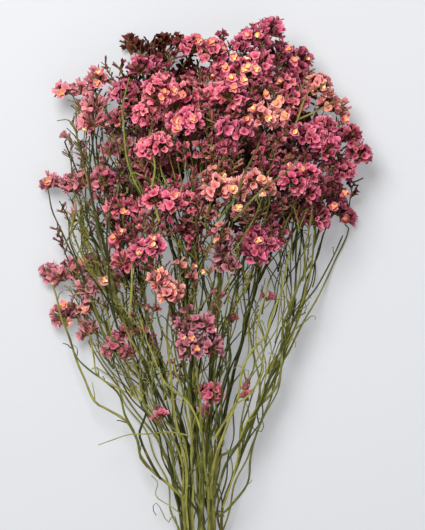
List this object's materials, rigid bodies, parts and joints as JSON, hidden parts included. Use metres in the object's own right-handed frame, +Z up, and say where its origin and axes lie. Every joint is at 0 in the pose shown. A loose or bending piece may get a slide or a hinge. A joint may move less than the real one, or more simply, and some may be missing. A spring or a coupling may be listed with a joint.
{
  "type": "dried statice bunch",
  "caption": "Bunch of cut dried statice lying on its side, with branching green stems and papery pink and coral flower heads.",
  "frame": {"origin": "centre of the bunch's bounding box, on the surface that it lies on", "axes": "+Z up from the surface, +Y along the stems from the cut ends to the flowers"},
  "size_m": [0.242, 0.544, 0.104],
  "materials": {
    "coral": "dry, matt, papery florets",
    "rose": "dry, matt, papery florets",
    "salmon": "dry, matt, papery florets",
    "mauve": "dry, matt, papery florets",
    "plum": "dry, matt, papery florets",
    "brown": "dry, matt, papery florets",
    "stem": "dry, matt, ridged stalk"
  },
  "bodies": {
    "root": {"head_back_1_brown": "brown", "head_back_2_brown": "brown", "head_back_3_plum": "plum", "head_back_4_plum": "plum", "head_back_5_plum": "plum", "head_back_6_plum": "plum", "head_back_7_plum": "plum", "head_back_8_plum": "plum", "head_centre_top_10_mauve": "mauve", "head_centre_top_11_coral": "coral", "head_centre_top_1_coral": "coral", "head_centre_top_2_rose": "rose", "head_centre_top_3_coral": "coral", "head_centre_top_4_coral": "coral", "head_centre_top_5_salmon": "salmon", "head_centre_top_6_rose": "rose", "head_centre_top_7_plum": "plum", "head_centre_top_8_salmon": "salmon", "head_centre_top_9_rose": "rose", "head_front_1_coral": "coral", "head_front_2_coral": "coral", "head_front_3_coral": "coral", "head_front_4_coral": "coral", "head_front_5_coral": "coral", "head_front_6_rose": "rose", "head_front_7_salmon": "salmon", "head_front_8_mauve": "mauve", "head_front_9_plum": "plum", "head_left_low_1_rose": "rose", "head_left_low_2_mauve": "mauve", "head_left_low_3_coral": "coral", "head_left_low_4_rose": "rose", "head_left_mid_1_rose": "rose", "head_left_mid_2_rose": "rose", "head_left_mid_3_coral": "coral", "head_left_mid_4_coral": "coral", "head_left_top_1_coral": "coral", "head_left_top_2_coral": "coral", "head_left_top_3_rose": "rose", "head_left_top_4_mauve": "mauve", "head_left_top_5_rose": "rose", "head_right_mid_1_rose": "rose", "head_right_mid_2_rose": "rose", "head_right_mid_3_mauve": "mauve", "head_right_mid_4_rose": "rose", "head_right_mid_5_rose": "rose", "head_right_mid_6_rose": "rose", "head_right_mid_7_mauve": "mauve", "head_right_top_1_rose": "rose", "head_right_top_2_coral": "coral", "head_right_top_3_salmon": "salmon", "head_right_top_4_plum": "plum", "stems_back": "stem", "stems_centre_top": "stem", "stems_front": "stem", "stems_left_low": "stem", "stems_left_mid": "stem", "stems_left_top": "stem", "stems_right_mid": "stem", "stems_right_top": "stem"}
  },
  "joints": []
}
